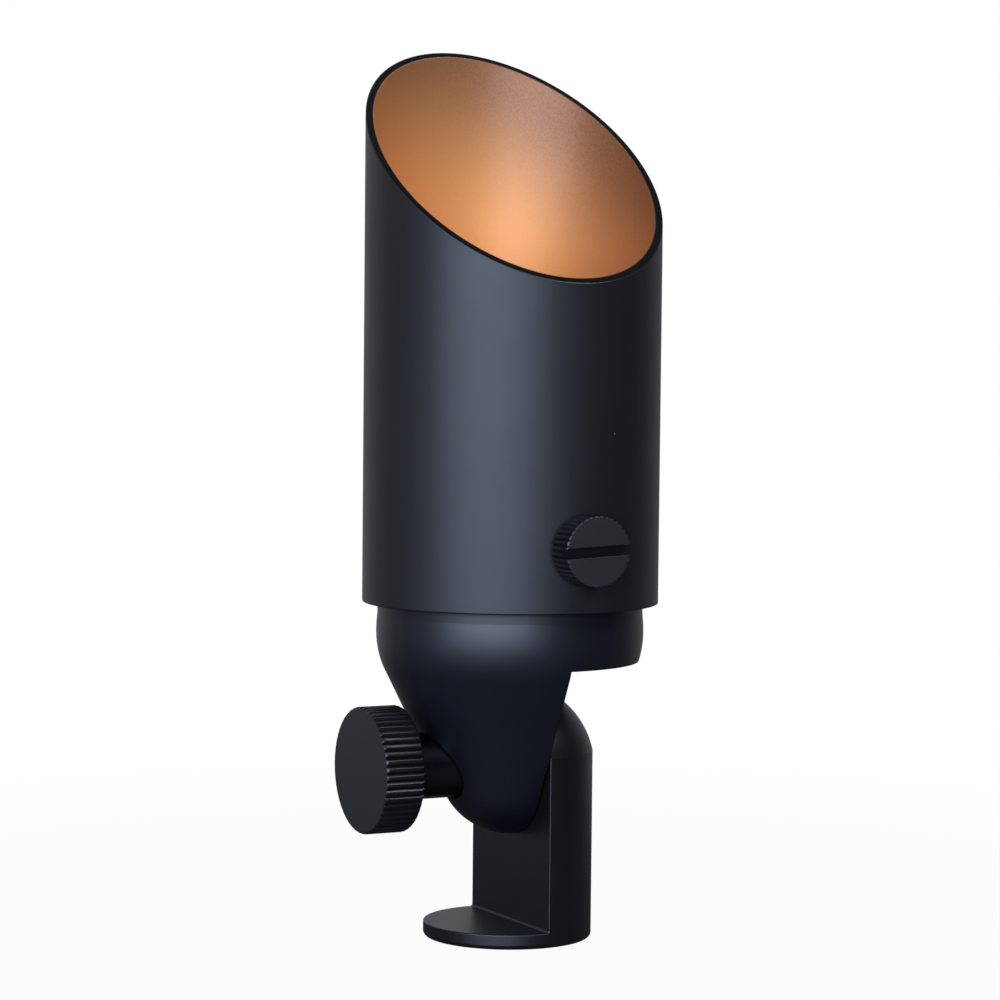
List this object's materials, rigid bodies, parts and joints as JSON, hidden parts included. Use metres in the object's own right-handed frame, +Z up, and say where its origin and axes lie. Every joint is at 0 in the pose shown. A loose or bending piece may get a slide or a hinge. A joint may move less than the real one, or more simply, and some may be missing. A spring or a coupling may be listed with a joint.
{
  "type": "landscape spotlight",
  "caption": "Tilting outdoor spotlight: tubular shroud with a slanted mouth slides and turns over a lamp housing that pivots on a half-round foot and locks with a knurled knob.",
  "frame": {"origin": "centre of the foot's round underside", "axes": "+Z up along the shroud, -X towards the tilt knob, +X towards the upright, -Y towards the lock screw and the low side of the slanted mouth"},
  "size_m": [0.0632, 0.0671, 0.1805],
  "materials": {
    "black_coat": "satin black powder coat",
    "shroud_coat": "satin black powder coat outside, copper paint inside",
    "knob_black": "satin black coat over brass",
    "screw_black": "satin black coat over brass",
    "black_rubber": "matt",
    "silicone": "matt translucent",
    "fibre": "matt fibre board",
    "lead_black": "satin sleeve",
    "lead_white": "satin sleeve",
    "ceramic": "glazed",
    "bright_brass": "bright",
    "stainless": "brushed",
    "plated_pin": "bright plate",
    "lamp_moulding": "satin",
    "lamp_metal": "satin",
    "board_white": "gloss",
    "emitter_yellow": "gloss",
    "optic_clear": "clear",
    "clear_glass": "clear"
  },
  "bodies": {
    "foot": {"bracket": "black_coat"},
    "head": {"lamp_housing": "black_coat", "shroud_oring_lower": "black_rubber", "shroud_oring_upper": "black_rubber", "friction_washer": "fibre", "cable_grommet": "black_rubber", "lead_left": "lead_black", "lead_right": "lead_white", "lamp_socket": "ceramic", "socket_contact_left": "bright_brass", "socket_contact_right": "bright_brass", "socket_screw_left": "stainless", "socket_screw_right": "stainless", "lamp_base": "lamp_moulding", "lamp_pin_left": "plated_pin", "lamp_pin_right": "plated_pin", "lamp_heat_sink": "lamp_metal", "led_board": "board_white", "led_emitter": "emitter_yellow", "lamp_optic": "optic_clear", "lamp_bezel": "lamp_moulding"},
    "glass": {"front_glass": "clear_glass", "glass_gasket": "silicone"},
    "shroud": {"shroud": "shroud_coat", "glass_snap_ring": "stainless"},
    "lock_seal": {"lock_screw_seal": "black_rubber"},
    "lock_screw": {"lock_screw": "screw_black"},
    "knob_washer": {"knob_washer": "stainless"},
    "knob": {"tilt_knob": "knob_black", "knob_stud": "stainless"}
  },
  "joints": [
    {"name": "head_tilt", "type": "hinge", "parent": "foot", "child": "head", "pos_m": [0, 0, 0.0355], "axis": [1, 0, 0], "range_deg": [-90, 90]},
    {"name": "shroud_lift", "type": "slide", "parent": "head", "child": "glass", "axis": [0, 0, 1], "range_m": [0, 0.06]},
    {"name": "shroud_turn", "type": "hinge", "parent": "glass", "child": "shroud", "pos_m": [0, 0, 0.1], "axis": [0, 0, 1], "continuous": true},
    {"name": "lock_screw_travel", "type": "slide", "parent": "shroud", "child": "lock_seal", "axis": [0, -1, 0], "range_m": [0, 0.0012]},
    {"name": "lock_screw_turn", "type": "hinge", "parent": "lock_seal", "child": "lock_screw", "pos_m": [0, -0.03, 0.0809], "axis": [0, -1, 0], "range_deg": [0, 540]},
    {"name": "knob_travel", "type": "slide", "parent": "foot", "child": "knob_washer", "axis": [-1, 0, 0], "range_m": [0, 0.0025]},
    {"name": "knob_turn", "type": "hinge", "parent": "knob_washer", "child": "knob", "pos_m": [-0.02, 0, 0.0355], "axis": [-1, 0, 0], "range_deg": [0, 720]}
  ],
  "couplings": [
    {"joint": "lock_screw_turn", "follows": "lock_screw_travel", "rad_per_m": 7853.9},
    {"joint": "knob_turn", "follows": "knob_travel", "rad_per_m": 5026.5}
  ]
}
